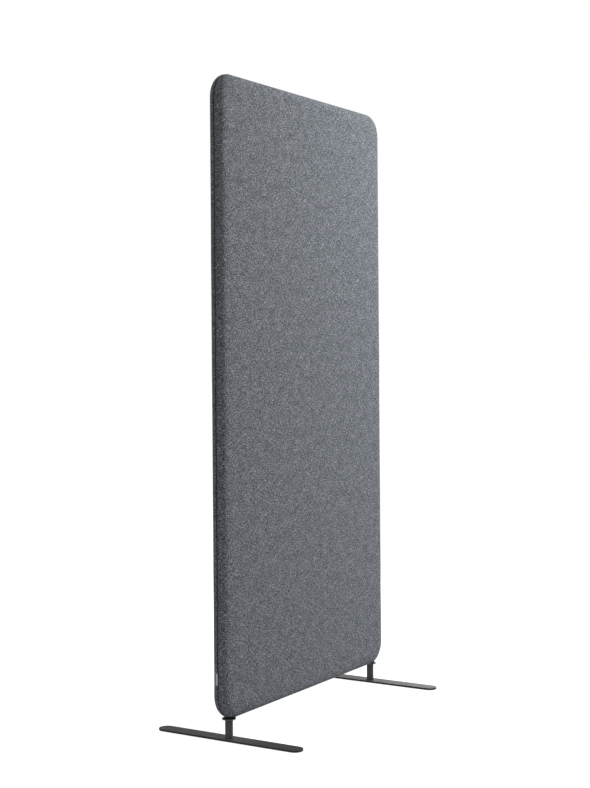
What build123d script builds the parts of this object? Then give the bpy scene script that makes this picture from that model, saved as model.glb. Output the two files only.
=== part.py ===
from build123d import *
import math
import os

# Acoustic divider screen: an upholstered panel that stands on two flat feet.
# Millimetres. The origin is on the floor, under the middle of the panel.
# X runs along the panel's width, the front face looks to -Y, and Z is up.

# Panel: outline, thickness and the rounded edge that runs all the way round it
panel_width = 800.0
panel_height = 1548.0
panel_thickness = 42.0
floor_gap = 52.0
corner_radius = 60.0
edge_depth = 38.0
edge_crown_radius = 19.0

# Clearances: skin_gap between soft layers, joint_fit between glued or screwed parts,
# run_gap round a moving part, and overrun to carry a cut past the face it leaves by
skin_gap = 0.2
joint_fit = 0.05
run_gap = 0.3
overrun = 5.0

# Covers, and the gap between them where the zip shows
cover_thickness = 2.0
seam_gap = 4.4

# Zip: it starts beside the left collar, goes up the left edge, over the top and down the
# right edge, and ends a short way above the lower right corner
tape_width = 11.0
tape_thickness = 0.6
coil_height = 1.2
coil_clearance = 0.2
zip_end_rise = 6.0
stop_length = 1.6

# Slider and pull
slider_length = 12.0
slider_width = 9.0
slider_nose_width = 6.0
wing_thickness = 1.1
bridge_length = 8.0
bridge_width = 2.0
bridge_wall = 0.8
bridge_clear_height = 1.7
pull_length = 27.0
pull_width = 7.0
pull_thickness = 1.2
pull_arm_length = 6.0
pull_edge_radius = 0.3

# Blank tab sewn into the zip
tab_height = 27.5
tab_width = 5.6
tab_thickness = 0.9
tab_rise = 88.5

# Timber frame
frame_inset = 14.0
frame_depth = 22.0
member_width = 60.0
dowel_diameter = 8.0
dowel_spacing = 30.0
wood_wall = 4.0

# Feet: post, collar and the thread that holds them
post_inset = 46.0
post_diameter = 19.0
post_chamfer = 0.5
flange_diameter = 34.0
flange_thickness = 2.7
flange_recess = 1.6
neck_diameter = 24.0
spigot_diameter = 16.0
stud_diameter = 10.0
stud_grip = 20.0
insert_diameter = 14.0
insert_length = 30.0
insert_rise = 6.0

# Foot bar, its screw and its glides
foot_length = 410.0
foot_width = 40.0
foot_thickness = 5.0
foot_edge_radius = 0.8
screw_diameter = 6.0
screw_head_diameter = 12.0
screw_head_height = 3.3
screw_length = 20.0
hex_key = 4.0
hex_depth = 2.2
glide_diameter = 28.0
glide_thickness = 1.0
glide_spacing = 340.0

# Places that follow from the sizes above
half_thickness = panel_thickness / 2
side_x = panel_width / 2
bottom_z = floor_gap
top_z = floor_gap + panel_height
corner_x = side_x - corner_radius
low_corner_z = bottom_z + corner_radius
high_corner_z = top_z - corner_radius
zip_end_z = low_corner_z + zip_end_rise
post_x = side_x - post_inset
frame_x = side_x - frame_inset
frame_bottom_z = bottom_z + frame_inset
frame_top_z = top_z - frame_inset
frame_corner_radius = corner_radius - frame_inset
stile_inner_x = frame_x - member_width
insert_seat_z = frame_bottom_z + insert_rise
flange_top_z = bottom_z - skin_gap + flange_recess
post_top_z = flange_top_z - flange_thickness
foot_top_z = glide_thickness + foot_thickness

# The edge is three tangent arcs: a crown on the mid plane and a wider shoulder on each side,
# which meets its flat face edge_depth in from the outline
shoulder_radius = (
    edge_depth**2 + half_thickness**2 - 2 * edge_depth * edge_crown_radius
) / (2 * (half_thickness - edge_crown_radius))
shoulder_offset = shoulder_radius - half_thickness
shoulder_angle = math.degrees(math.atan2(shoulder_offset, edge_depth - edge_crown_radius))


def edge_section(depth):
    """The edge's cross-section, depth inside the surface: x goes in from the outline, y is Y."""
    crown = CenterArc(
        (edge_crown_radius, 0),
        edge_crown_radius - depth,
        180 + shoulder_angle,
        -2 * shoulder_angle,
    )
    front = CenterArc(
        (edge_depth, shoulder_offset), shoulder_radius - depth, -90, shoulder_angle - 90
    )
    rear = CenterArc(
        (edge_depth, -shoulder_offset), shoulder_radius - depth, 180 - shoulder_angle, shoulder_angle - 90
    )
    closing = Line(rear @ 1, front @ 0)
    return make_face([front, crown, rear, closing])


def band(outer_depth, inner_depth, y_from, y_to):
    """A cross-section that lies along the crown, between two depths and two planes of Y."""
    ring = Circle(edge_crown_radius - outer_depth) - Circle(edge_crown_radius - inner_depth)
    strip = Pos(-edge_crown_radius / 2, (y_from + y_to) / 2) * Rectangle(
        edge_crown_radius + 2 * overrun, y_to - y_from
    )
    return Pos(edge_crown_radius, 0) * (ring & strip)


def front_half(section):
    """The part of a cross-section that lies in front of the mid plane."""
    reach = edge_depth + overrun
    return section & (Pos(reach / 2, -half_thickness) * Rectangle(2 * reach, panel_thickness))


# The outline is walked clockwise as the front sees it, from under the lower left corner
corners = {
    "low_left": ((-corner_x, low_corner_z), (0, 1)),
    "high_left": ((-corner_x, high_corner_z), (1, 0)),
    "high_right": ((corner_x, high_corner_z), (0, -1)),
    "low_right": ((corner_x, low_corner_z), (-1, 0)),
}


def round_corner(section, name, start=0.0, end=90.0):
    """The section carried round one corner, from start to end degrees of its quarter turn."""
    (centre_x, centre_z), inward = corners[name]
    plane = Plane(
        origin=(
            centre_x - inward[0] * corner_radius,
            0,
            centre_z - inward[1] * corner_radius,
        ),
        x_dir=(inward[0], 0, inward[1]),
        z_dir=(-inward[1], 0, inward[0]),
    )
    axis = Axis((centre_x, 0, centre_z), (0, 1, 0))
    return revolve((plane * section).rotate(axis, start), axis, end - start)


def along(section, start, end, inward):
    """The section carried along a straight edge from start to end, both (x, z)."""
    run = Vector(end[0] - start[0], 0, end[1] - start[1])
    plane = Plane(origin=(start[0], 0, start[1]), x_dir=(inward[0], 0, inward[1]), z_dir=run.normalized())
    return extrude(plane * section, run.length)


def zip_run(section, start_angle, end_z):
    """The section carried along the zip, from an angle of the lower left corner to a height."""
    return (
        round_corner(section, "low_left", start_angle)
        + along(section, (-side_x, low_corner_z), (-side_x, high_corner_z), (1, 0))
        + round_corner(section, "high_left")
        + along(section, (-corner_x, top_z), (corner_x, top_z), (0, -1))
        + round_corner(section, "high_right")
        + along(section, (side_x, high_corner_z), (side_x, end_z), (-1, 0))
    )


def all_round(section):
    """The section carried round the whole outline."""
    return (
        zip_run(section, 0, low_corner_z)
        + round_corner(section, "low_right")
        + along(section, (corner_x, bottom_z), (-corner_x, bottom_z), (0, 1))
    )


def slab(inset, y_from, y_to):
    """A flat plate of the panel's outline, inset on all sides, between two planes of Y."""
    outline = RectangleRounded(
        panel_width - 2 * inset, panel_height - 2 * inset, corner_radius - inset
    )
    plane = Plane(origin=(0, y_from, bottom_z + panel_height / 2), x_dir=(1, 0, 0), z_dir=(0, 1, 0))
    return extrude(plane * outline, y_to - y_from)


def rear_of(front):
    """The rear twin of a piece."""
    return mirror(front, about=Plane.XZ)


def upright(diameter, z_from, z_to, x=0.0, y=0.0):
    """A vertical cylinder between two heights."""
    return Pos(x, y, z_from) * Cylinder(
        diameter / 2, z_to - z_from, align=(Align.CENTER, Align.CENTER, Align.MIN)
    )


def both_sides(piece):
    """A piece at the left foot's axis and again at the right foot's."""
    return Pos(-post_x, 0, 0) * piece + Pos(post_x, 0, 0) * piece


# Zip: where it starts round the lower left corner, clear of the collar's neck
neck_reach = post_x - corner_x + neck_diameter / 2 + stop_length
zip_start_angle = math.degrees(math.asin(neck_reach / corner_radius))
stop_angle = math.degrees(stop_length / corner_radius)
tape_depth = cover_thickness + skin_gap
coil_depth = tape_depth - coil_height
coil_half = seam_gap / 2 - coil_clearance


def collar_holes(diameter):
    """What the two collar necks take out of the soft layers."""
    return both_sides(upright(diameter + 2 * run_gap, -overrun, frame_bottom_z + frame_corner_radius))


def flange_seats():
    """What the two collar flanges press out of the covers."""
    return both_sides(upright(flange_diameter + 2 * run_gap, -overrun, flange_top_z + skin_gap))


def cover():
    """Front cover: the flat face and half of the edge, open along the zip."""
    skin = front_half(edge_section(0) - edge_section(cover_thickness))
    shell = all_round(skin) + slab(edge_depth, -half_thickness, cover_thickness - half_thickness)
    channel = Pos(cover_thickness / 2, 0) * Rectangle(cover_thickness + 2 * overrun, seam_gap)
    shell -= zip_run(channel, zip_start_angle, zip_end_z)
    return shell - collar_holes(neck_diameter) - flange_seats()


def zip_tape():
    """Front tape: a woven band under the cover's edge."""
    section = band(tape_depth, tape_depth + tape_thickness, -tape_width, -skin_gap)
    return zip_run(section, zip_start_angle, zip_end_z)


def zip_coil():
    """Front half of the closed coil, on its tape, between the two end stops."""
    section = band(coil_depth, tape_depth, -coil_half, -skin_gap / 2)
    return zip_run(section, zip_start_angle + stop_angle, zip_end_z + stop_length)


def zip_stops():
    """The two end stops, one across each end of the coil."""
    section = band(coil_depth, tape_depth, -coil_half, coil_half)
    first = round_corner(section, "low_left", zip_start_angle, zip_start_angle + stop_angle)
    last = along(section, (side_x, zip_end_z + stop_length), (side_x, zip_end_z), (-1, 0))
    return first + last


# Slider: its heights above the edge's crown, along +X on the right-hand edge
slider_z = zip_end_z + stop_length + run_gap + slider_length / 2
neck_floor_x = side_x - coil_depth + run_gap
wing_floor_x = side_x + run_gap
wing_top_x = wing_floor_x + wing_thickness
pivot_x = wing_top_x + bridge_clear_height / 2
bridge_top_x = wing_top_x + bridge_clear_height + bridge_wall
pin_diameter = bridge_clear_height - run_gap


def edge_plate(outline, x_from, x_to):
    """An outline drawn in Y and Z about the slider's middle, as thick as from x_from to x_to."""
    plane = Plane(origin=(x_from, 0, slider_z), x_dir=(0, 1, 0), z_dir=(1, 0, 0))
    return extrude(plane * outline, x_to - x_from)


def zip_slider():
    """Slider: a wing over the seam, a neck down to the coil and a bridge for the pull."""
    half = slider_length / 2
    wing_outline = make_face(
        Polyline(
            (-slider_width / 2, -half),
            (slider_width / 2, -half),
            (slider_width / 2, 0),
            (slider_nose_width / 2, half),
            (-slider_nose_width / 2, half),
            (-slider_width / 2, 0),
            close=True,
        )
    )
    wing = edge_plate(fillet(wing_outline.vertices(), wing_thickness), wing_floor_x, wing_top_x)
    neck_width = seam_gap - 2 * run_gap
    neck = edge_plate(
        Rectangle(neck_width, slider_length - 2 * wing_thickness), neck_floor_x, wing_floor_x
    )
    bridge = edge_plate(Rectangle(bridge_width, bridge_length), wing_top_x, bridge_top_x)
    window = edge_plate(
        Rectangle(bridge_width + 2 * overrun, bridge_length - 2 * bridge_wall),
        wing_top_x,
        wing_top_x + bridge_clear_height,
    )
    return wing + neck + (bridge - window)


def zip_pull():
    """Pull: a pin under the bridge, an arm each side of it and a flat grip that hangs down."""
    low = pull_length - pull_thickness / 2
    plane = Plane(
        origin=(pivot_x - pull_thickness / 2, 0, slider_z), x_dir=(0, 1, 0), z_dir=(1, 0, 0)
    )
    blank = Pos(0, (pull_thickness / 2 - low) / 2) * RectangleRounded(
        pull_width, pull_length, pull_width / 2 - pull_thickness
    )
    eye_width = bridge_width + 2 * run_gap
    eye = Pos(0, -pull_arm_length / 2) * Rectangle(eye_width, pull_arm_length)
    eye += Pos(0, pull_thickness / 2) * Rectangle(eye_width, pull_thickness)
    grip = extrude(plane * (blank - eye), pull_thickness)
    grip = fillet(grip.faces().sort_by(Axis.X)[-1].edges(), pull_edge_radius)
    grip = fillet(grip.faces().sort_by(Axis.X)[0].edges(), pull_edge_radius)
    pin = Pos(pivot_x, 0, slider_z) * Rot(90, 0, 0) * Cylinder(pin_diameter / 2, pull_width - 2 * pull_thickness)
    return grip + pin


def seam_tab():
    """Blank tab: a folded ribbon that comes out of the zip on the left edge and lies to the rear."""
    outer = -skin_gap - tab_thickness
    flap = band(outer, -skin_gap, skin_gap, tab_width)
    root = band(outer, coil_depth - skin_gap, skin_gap, skin_gap + tab_thickness)
    tab_z = bottom_z + tab_rise
    return along(flap + root, (-side_x, tab_z), (-side_x, tab_z + tab_height), (1, 0))


def pad():
    """Front pad: the flat face and half of the edge, moulded round the frame."""
    section = front_half(edge_section(cover_thickness + skin_gap))
    section -= band(
        cover_thickness,
        tape_depth + tape_thickness + skin_gap,
        -tape_width - skin_gap,
        skin_gap,
    )
    pocket_width = edge_depth + overrun - frame_inset
    section -= Pos(frame_inset - skin_gap + pocket_width / 2, 0) * Rectangle(pocket_width, frame_depth)
    face = slab(edge_depth, cover_thickness + skin_gap - half_thickness, -frame_depth / 2)
    return all_round(section) + face - collar_holes(neck_diameter)


# Heights of the frame's three rails, bottom, middle and top
rail_heights = (
    frame_bottom_z + member_width / 2,
    (frame_bottom_z + frame_top_z) / 2,
    frame_top_z - member_width / 2,
)


def dowels(fit=0.0):
    """Two dowels in each joint of the frame, or the holes for them when fit is added."""
    depth = post_x - insert_diameter / 2 - wood_wall - stile_inner_x
    dowel = Rot(0, 90, 0) * Cylinder(dowel_diameter / 2 + fit, 2 * (depth + fit))
    return Part() + [
        Pos(side * stile_inner_x, 0, rail_z + offset) * dowel
        for side in (-1, 1)
        for rail_z in rail_heights
        for offset in (-dowel_spacing / 2, dowel_spacing / 2)
    ]


def stile(side):
    """Upright of the frame, rounded at its outer corners and bored for the insert and dowels."""
    reach = member_width + overrun
    frame_plate = slab(frame_inset, -frame_depth / 2, frame_depth / 2)
    keep = Pos(side * (stile_inner_x + reach / 2), 0, bottom_z + panel_height / 2) * Box(
        reach, panel_thickness, panel_height
    )
    seat = upright(spigot_diameter + 2 * run_gap, bottom_z, insert_seat_z, side * post_x)
    bore = upright(
        insert_diameter + 2 * joint_fit, bottom_z, insert_seat_z + insert_length, side * post_x
    )
    return (frame_plate & keep) - seat - bore - dowels(joint_fit)


def rail(rail_z):
    """Cross member between the stiles."""
    return Pos(0, 0, rail_z) * Box(2 * stile_inner_x, frame_depth, member_width) - dowels(joint_fit)


def core(low_rail_z, high_rail_z):
    """Infill board between two rails."""
    height = high_rail_z - low_rail_z - member_width - 2 * skin_gap
    return Pos(0, 0, (low_rail_z + high_rail_z) / 2) * Box(
        2 * (stile_inner_x - skin_gap), frame_depth, height
    )


def threaded_insert():
    """Steel sleeve in the foot of a stile, on the post's axis."""
    top = insert_seat_z + insert_length
    return upright(insert_diameter, insert_seat_z, top) - upright(
        stud_diameter + 2 * joint_fit, insert_seat_z, top
    )


def collar():
    """Collar: a spigot up to the timber, a neck through the cover and a flange under it."""
    neck_top_z = frame_bottom_z - skin_gap
    body = (
        upright(flange_diameter, post_top_z, flange_top_z)
        + upright(neck_diameter, flange_top_z, neck_top_z)
        + upright(spigot_diameter, neck_top_z, insert_seat_z)
    )
    body = chamfer(body.edges().group_by(Axis.Z)[0], post_chamfer)
    return body - upright(stud_diameter + 2 * run_gap, post_top_z, insert_seat_z)


def post():
    """Round post, tapped at both ends."""
    body = chamfer(upright(post_diameter, foot_top_z, post_top_z).edges(), post_chamfer)
    stud_hole = upright(stud_diameter + 2 * joint_fit, post_top_z - stud_grip, post_top_z)
    screw_hole = upright(
        screw_diameter + 2 * joint_fit, foot_top_z, glide_thickness + screw_length + run_gap
    )
    return body - stud_hole - screw_hole


def stud():
    """Threaded stud, fixed in the post and free to turn in the insert."""
    return upright(stud_diameter, post_top_z - stud_grip, insert_seat_z + insert_length - run_gap)


def foot_screw():
    """Countersunk screw up through the foot bar into the post, with a hexagon socket."""
    low = glide_thickness
    head = Pos(0, 0, low) * Cone(
        screw_head_diameter / 2,
        screw_diameter / 2,
        screw_head_height,
        align=(Align.CENTER, Align.CENTER, Align.MIN),
    )
    shank = upright(screw_diameter, low + screw_head_height, low + screw_length)
    socket = Pos(0, 0, low) * extrude(RegularPolygon(hex_key / 2, 6, major_radius=False), hex_depth)
    return head + shank - socket


def foot_bar():
    """Flat bar with half-round ends, countersunk from below."""
    outline = Rot(0, 0, 90) * SlotOverall(foot_length, foot_width)
    blank = Pos(0, 0, glide_thickness) * extrude(outline, foot_thickness)
    blank = fillet(blank.edges().filter_by(Plane.XY), foot_edge_radius)
    sink = Pos(0, 0, glide_thickness) * Cone(
        screw_head_diameter / 2 + joint_fit,
        screw_diameter / 2 + joint_fit,
        screw_head_height,
        align=(Align.CENTER, Align.CENTER, Align.MIN),
    )
    hole = upright(screw_diameter + 2 * joint_fit, glide_thickness, foot_top_z)
    return blank - sink - hole


def glides():
    """Two felt discs stuck under the ends of a foot bar."""
    disc = upright(glide_diameter, 0, glide_thickness)
    return Pos(0, -glide_spacing / 2, 0) * disc + Pos(0, glide_spacing / 2, 0) * disc


pieces = {
    "cover_front": cover(),
    "zip_tape_front": zip_tape(),
    "zip_coil_front": zip_coil(),
    "pad_front": pad(),
    "zip_stops": zip_stops(),
    "zip_slider": zip_slider(),
    "zip_pull": zip_pull(),
    "seam_tab": seam_tab(),
    "rail_bottom": rail(rail_heights[0]),
    "rail_middle": rail(rail_heights[1]),
    "rail_top": rail(rail_heights[2]),
    "core_lower": core(rail_heights[0], rail_heights[1]),
    "core_upper": core(rail_heights[1], rail_heights[2]),
    "frame_dowels": dowels(),
}
for front in ("cover", "zip_tape", "zip_coil", "pad"):
    pieces[front + "_rear"] = rear_of(pieces[front + "_front"])

foot_pieces = {
    "threaded_insert": threaded_insert(),
    "collar": collar(),
    "post": post(),
    "stud": stud(),
    "foot_bar": foot_bar(),
    "foot_screw": foot_screw(),
    "foot_glides": glides(),
}
for side_name, side in (("left", -1), ("right", 1)):
    pieces["stile_" + side_name] = stile(side)
    for name, piece in foot_pieces.items():
        pieces[f"{name}_{side_name}"] = Pos(side * post_x, 0, 0) * piece

os.makedirs("parts", exist_ok=True)
for name, piece in pieces.items():
    export_step(piece, f"parts/{name}.step")
    print(f"{name}: {len(piece.solids())} solid, {piece.volume / 1000:.1f} cm3")
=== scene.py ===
# %% [markdown]
# Dressing an acoustic screen
#
# The object is an upholstered panel on two flat steel feet. Its construction is already
# fixed: every rigid part arrives at its real size and place, and this lesson adds what
# the eye reads as cloth, thread, zip and paint. Nothing here moves a rigid part.

# %% Load the fixed parts
from math import asin, atan2, cos, pi, radians, sin, sqrt

import bmesh
import bpy
from mathutils import Matrix, Vector, noise


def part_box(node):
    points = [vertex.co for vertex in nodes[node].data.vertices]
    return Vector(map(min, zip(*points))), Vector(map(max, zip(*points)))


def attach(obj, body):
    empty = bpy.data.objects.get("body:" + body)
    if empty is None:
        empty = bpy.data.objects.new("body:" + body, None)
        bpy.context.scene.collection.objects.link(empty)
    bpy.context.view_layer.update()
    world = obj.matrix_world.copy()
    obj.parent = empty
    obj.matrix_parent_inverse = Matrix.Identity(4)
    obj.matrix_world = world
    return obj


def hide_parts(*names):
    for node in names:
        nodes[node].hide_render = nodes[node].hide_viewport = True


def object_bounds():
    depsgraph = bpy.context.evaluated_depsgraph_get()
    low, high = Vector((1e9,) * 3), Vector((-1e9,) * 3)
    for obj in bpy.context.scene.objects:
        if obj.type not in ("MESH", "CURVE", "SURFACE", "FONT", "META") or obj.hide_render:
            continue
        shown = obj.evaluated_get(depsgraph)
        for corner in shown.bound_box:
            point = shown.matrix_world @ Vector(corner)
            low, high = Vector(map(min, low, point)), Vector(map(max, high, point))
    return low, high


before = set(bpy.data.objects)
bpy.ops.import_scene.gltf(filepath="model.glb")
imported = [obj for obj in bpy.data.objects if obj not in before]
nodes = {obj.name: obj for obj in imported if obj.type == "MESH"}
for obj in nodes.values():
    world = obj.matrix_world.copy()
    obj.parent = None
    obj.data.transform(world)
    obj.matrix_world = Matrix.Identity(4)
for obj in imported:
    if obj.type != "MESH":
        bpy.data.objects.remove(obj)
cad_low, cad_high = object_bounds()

MM = 0.001
scene = bpy.context.scene


def in_scene(name, data):
    """A new object for a mesh, a lamp or a camera, linked to the scene."""
    made = bpy.data.objects.new(name, data)
    scene.collection.objects.link(made)
    return made


def dress(piece, finish):
    """Gives the whole of a piece one finish."""
    piece.data.materials.clear()
    piece.data.materials.append(finish)


# %% [markdown]
# The camera comes first, because everything else is judged through it. It stands to the
# left of the panel, level but for a slight roll, at about chest height. Its lens is slid
# down a little instead of tilted, so the panel's upright edges don't lean together. That
# slide is the camera's shift. The focal length is known in pixels of the picture, and is
# turned into millimetres on a 36 mm sensor.

# %% Camera
photo_height = 788
sensor_width = 36.0
focal_pixels = 1411.7
horizon_row = 357.1
camera_distance = 3.689
camera_height = 0.918
camera_azimuth = radians(58.76)
look_turn = radians(-0.317)
camera_roll = radians(-0.426)

camera = in_scene("camera", bpy.data.cameras.new("camera"))
scene.camera = camera
camera.data.sensor_width = sensor_width
camera.data.lens = focal_pixels * sensor_width / photo_height
camera.data.shift_y = (horizon_row - photo_height / 2) / photo_height

yaw = camera_azimuth + look_turn
forward = Vector((sin(yaw), cos(yaw), 0))
level_right = Vector((cos(yaw), -sin(yaw), 0))
right = level_right * cos(camera_roll) + Vector((0, 0, sin(camera_roll)))
turn = Matrix((right, right.cross(forward), -forward)).transposed()
camera.rotation_mode = "QUATERNION"
camera.rotation_quaternion = turn.to_quaternion()
sine, cosine = sin(camera_azimuth), cos(camera_azimuth)
camera.location = (-camera_distance * sine, -camera_distance * cosine, camera_height)
print("camera lens", round(camera.data.lens, 2), "mm, shift", round(camera.data.shift_y, 4))

# %% [markdown]
# The light is a white studio: an even glow from all round, and one large soft lamp high
# on the right that makes the front face brighter than the edge. A weak low lamp behind on
# the right is mirrored in the right foot bar and brightens that side of the posts. The
# world shows plain white to the camera and in reflections, and lights the object at a
# lower level, so the background is white without adding light to the cloth.
#
# Materials and worlds are trees of nodes. A few small helpers make a node, fill its
# inputs and hand on its result, so that a tree can be written like a sum.

# %% Helpers for node trees
def fill(tree, node, inputs):
    """Fills a node's inputs: a socket is linked, a value is set, a colour is given as RGB."""
    for name, value in inputs.items():
        socket = node.inputs[name]
        if isinstance(value, bpy.types.NodeSocket):
            tree.links.new(value, socket)
        else:
            socket.default_value = (*value, 1) if socket.type == "RGBA" else value


def add_node(tree, kind, inputs=None, **settings):
    """A node with its settings made and its inputs filled."""
    made = tree.nodes.new(kind)
    for name, value in settings.items():
        setattr(made, name, value)
    fill(tree, made, inputs or {})
    return made


def math_node(tree, operation, first, second=0.0):
    """The result of one sum, as a socket."""
    return add_node(tree, "ShaderNodeMath", {0: first, 1: second}, operation=operation).outputs[0]


def spread(tree, value, low, high, to_low=0.0, to_high=1.0):
    """A value carried from one range to another and held inside it, as a socket."""
    ends = {"From Min": low, "From Max": high, "To Min": to_low, "To Max": to_high}
    return add_node(tree, "ShaderNodeMapRange", {"Value": value, **ends}).outputs["Result"]


def seen_directly(tree):
    """1 for rays that show a background: from the camera, off gloss or through glass."""
    path = add_node(tree, "ShaderNodeLightPath").outputs
    shown = math_node(tree, "MAXIMUM", path["Is Camera Ray"], path["Is Glossy Ray"])
    return math_node(tree, "MAXIMUM", shown, path["Is Transmission Ray"])


# %% World
ambient_level = 0.38

scene.view_settings.view_transform = "Standard"
world = bpy.data.worlds.new("studio")
scene.world = world
world.use_nodes = True
sky = world.node_tree
sky.nodes.clear()
glow_level = spread(sky, seen_directly(sky), 0.0, 1.0, ambient_level, 1.0)
glow = add_node(sky, "ShaderNodeBackground", {"Color": (1, 1, 1), "Strength": glow_level})
add_node(sky, "ShaderNodeOutputWorld", {"Surface": glow.outputs[0]})
print("world glow", ambient_level)

# %% Lamps
key_place, key_size, key_power = Vector((1.85, -1.25, 2.4)), 0.9, 65.5
low_place, low_size, low_power = Vector((2.1, 0.65, 0.46)), 0.5, 8.0


def add_lamp(name, place, aim, size, power):
    """A round soft lamp, turned towards its aim and not seen by the camera itself."""
    lamp = in_scene(name, bpy.data.lights.new(name, "AREA"))
    lamp.data.shape = "DISK"
    lamp.data.size = size
    lamp.data.energy = power
    lamp.location = place
    lamp.rotation_mode = "QUATERNION"
    lamp.rotation_quaternion = (aim - place).to_track_quat("-Z", "Y")
    lamp.visible_camera = False
    print(name, power, "W at", tuple(round(value, 2) for value in place))


panel_middle = (cad_low + cad_high) / 2
add_lamp("key_lamp", key_place, panel_middle, key_size, key_power)
add_lamp("low_lamp", low_place, Vector((panel_middle.x, 0, cad_low.z)), low_size, low_power)

# %% [markdown]
# The floor is pale paper. It has to look as white as the background and still take the
# soft shadow of the feet, so it is a plain matt surface with part of its brightness
# added only for the eye. That added part lights nothing.

# %% Floor
floor_half = 40.0
floor_paper = 0.45
floor_glow = 0.93

corners = [(x * floor_half, y * floor_half, 0) for x, y in ((-1, -1), (1, -1), (1, 1), (-1, 1))]
floor_mesh = bpy.data.meshes.new("floor")
floor_mesh.from_pydata(corners, [], [(0, 1, 2, 3)])
floor = in_scene("floor", floor_mesh)

paper = bpy.data.materials.new("floor_paper")
paper.use_nodes = True
sheet_tree = paper.node_tree
sheet_tree.nodes.clear()
matt = add_node(sheet_tree, "ShaderNodeBsdfDiffuse", {"Color": (floor_paper,) * 3})
added = spread(sheet_tree, seen_directly(sheet_tree), 0.0, 1.0, 0.0, floor_glow)
shine = add_node(sheet_tree, "ShaderNodeEmission", {"Strength": added})
both = add_node(sheet_tree, "ShaderNodeAddShader", {0: matt.outputs[0], 1: shine.outputs[0]})
add_node(sheet_tree, "ShaderNodeOutputMaterial", {"Surface": both.outputs[0]})
dress(floor, paper)
print("floor", 2 * floor_half, "m wide")

# %% [markdown]
# All the cloth follows one line: the panel's outline, a rectangle with round corners.
# A walk along that line, clockwise as the front sees it, gives for every distance an
# anchor and an outward direction. A piece is then described only by how deep it lies
# below the outline and how far it is from the middle plane. The walk is worked out from
# the box of the front cover, so it fits the rigid parts.

# %% Walk round the outline
corner_radius = 60 * MM
edge_depth = 38 * MM
crown_radius = 19 * MM

cover_low, cover_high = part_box("cover_front")
half_thickness = -cover_low.y
corner_x = cover_high.x - corner_radius
low_corner_z = cover_low.z + corner_radius
high_corner_z = cover_high.z - corner_radius
middle_z = (low_corner_z + high_corner_z) / 2
edge_height = high_corner_z - low_corner_z
corner_arc = corner_radius * pi / 2

outline_runs = []
run_start = 0.0
anchor, travel, outward = Vector((0, low_corner_z)), Vector((-1, 0)), Vector((0, -1))
for straight in (corner_x, edge_height, 2 * corner_x, edge_height, corner_x):
    outline_runs.append((run_start, straight, anchor, travel, outward, False))
    anchor = anchor + travel * straight
    run_start += straight
    outline_runs.append((run_start, corner_arc, anchor, travel, outward, True))
    travel, outward = -outward, travel
    run_start += corner_arc
outline_runs.pop()
outline_length = run_start - corner_arc


def outline(distance):
    """Anchor and outward direction, both (x, z), at a distance round the outline."""
    distance = distance % outline_length
    for start, length, origin, ahead, out, turns in outline_runs:
        if distance <= start + length:
            break
    along = distance - start
    if turns:
        angle = along / corner_radius
        return origin, out * cos(angle) + ahead * sin(angle)
    return origin + ahead * along, out


def place(station, depth, y):
    """The point at a station that lies depth inside the outline, on the plane y."""
    centre, out = station
    reach = corner_radius - depth
    return Vector((centre.x + out.x * reach, y, centre.y + out.y * reach))


print("outline", round(outline_length, 3), "m round")

# %% [markdown]
# Across the edge the section is three arcs that meet smoothly: a small crown in the
# middle and a wide shoulder on each side, which runs out into the flat face. Points on
# it are named by their distance along the skin from the middle plane, and by how far
# they lie below the skin. That makes hems, stitches and the zip easy to place.

# %% Section of the edge
shoulder_radius = (edge_depth**2 + half_thickness**2 - 2 * edge_depth * crown_radius) / (
    2 * (half_thickness - crown_radius)
)
shoulder_offset = shoulder_radius - half_thickness
crown_angle = atan2(shoulder_offset, edge_depth - crown_radius)
crown_length = crown_radius * crown_angle
edge_length = crown_length + shoulder_radius * (pi / 2 - crown_angle)


def edge_angle(along):
    """How far the skin has turned from the edge towards the face, along the skin."""
    if along <= crown_length:
        return along / crown_radius
    return min(crown_angle + (along - crown_length) / shoulder_radius, pi / 2)


def edge_point(along, below):
    """Depth inside the outline and distance from the middle plane of a point of the edge."""
    angle = edge_angle(along)
    if along <= crown_length:
        radius = crown_radius - below
        return crown_radius - radius * cos(angle), radius * sin(angle)
    radius = shoulder_radius - below
    flat = max(along - edge_length, 0)
    return edge_depth - radius * cos(angle) + flat, radius * sin(angle) - shoulder_offset


print("skin from seam to face", round(edge_length / MM, 1), "mm")

# %% [markdown]
# The two covers meet along the middle of the edge. Where the zip runs they stay a few
# millimetres apart, elsewhere they are sewn together, and round each collar both are cut
# back to the collar's neck. One function gives half of that gap for every station.

# %% Gap between the covers
groove_half = 1.7 * MM
closed_half = 0.12 * MM
ramp_length = 5 * MM
neck_radius = 12 * MM
neck_gap = 0.3 * MM
stop_length = 1.6 * MM
zip_end_rise = 6 * MM

collar_low, collar_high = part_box("collar_left")
post_x = (collar_low.x + collar_high.x) / 2
hole_radius = neck_radius + neck_gap
zip_start_angle = asin((-corner_x - post_x + neck_radius + stop_length) / corner_radius)
zip_start = corner_x + corner_radius * zip_start_angle
zip_end = outline_length - corner_x - corner_arc - zip_end_rise


def smooth_step(value):
    """0 below 0, 1 above 1, and a smooth change between."""
    share = min(max(value, 0.0), 1.0)
    return share * share * (3 - 2 * share)


def half_gap(distance, station):
    """Half the gap between the folded edges of the two covers."""
    opening = smooth_step((distance - zip_start) / ramp_length + 1)
    closing = smooth_step((zip_end - distance) / ramp_length + 1)
    gap = closed_half + (groove_half - closed_half) * min(opening, closing)
    point = place(station, 0, 0)
    beside_post = abs(abs(point.x) - abs(post_x))
    if point.z < low_corner_z and beside_post < hole_radius:
        gap = max(gap, sqrt(hole_radius**2 - beside_post**2))
    return gap


print("zip from", round(zip_start, 3), "to", round(zip_end, 3), "m round the outline")

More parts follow.
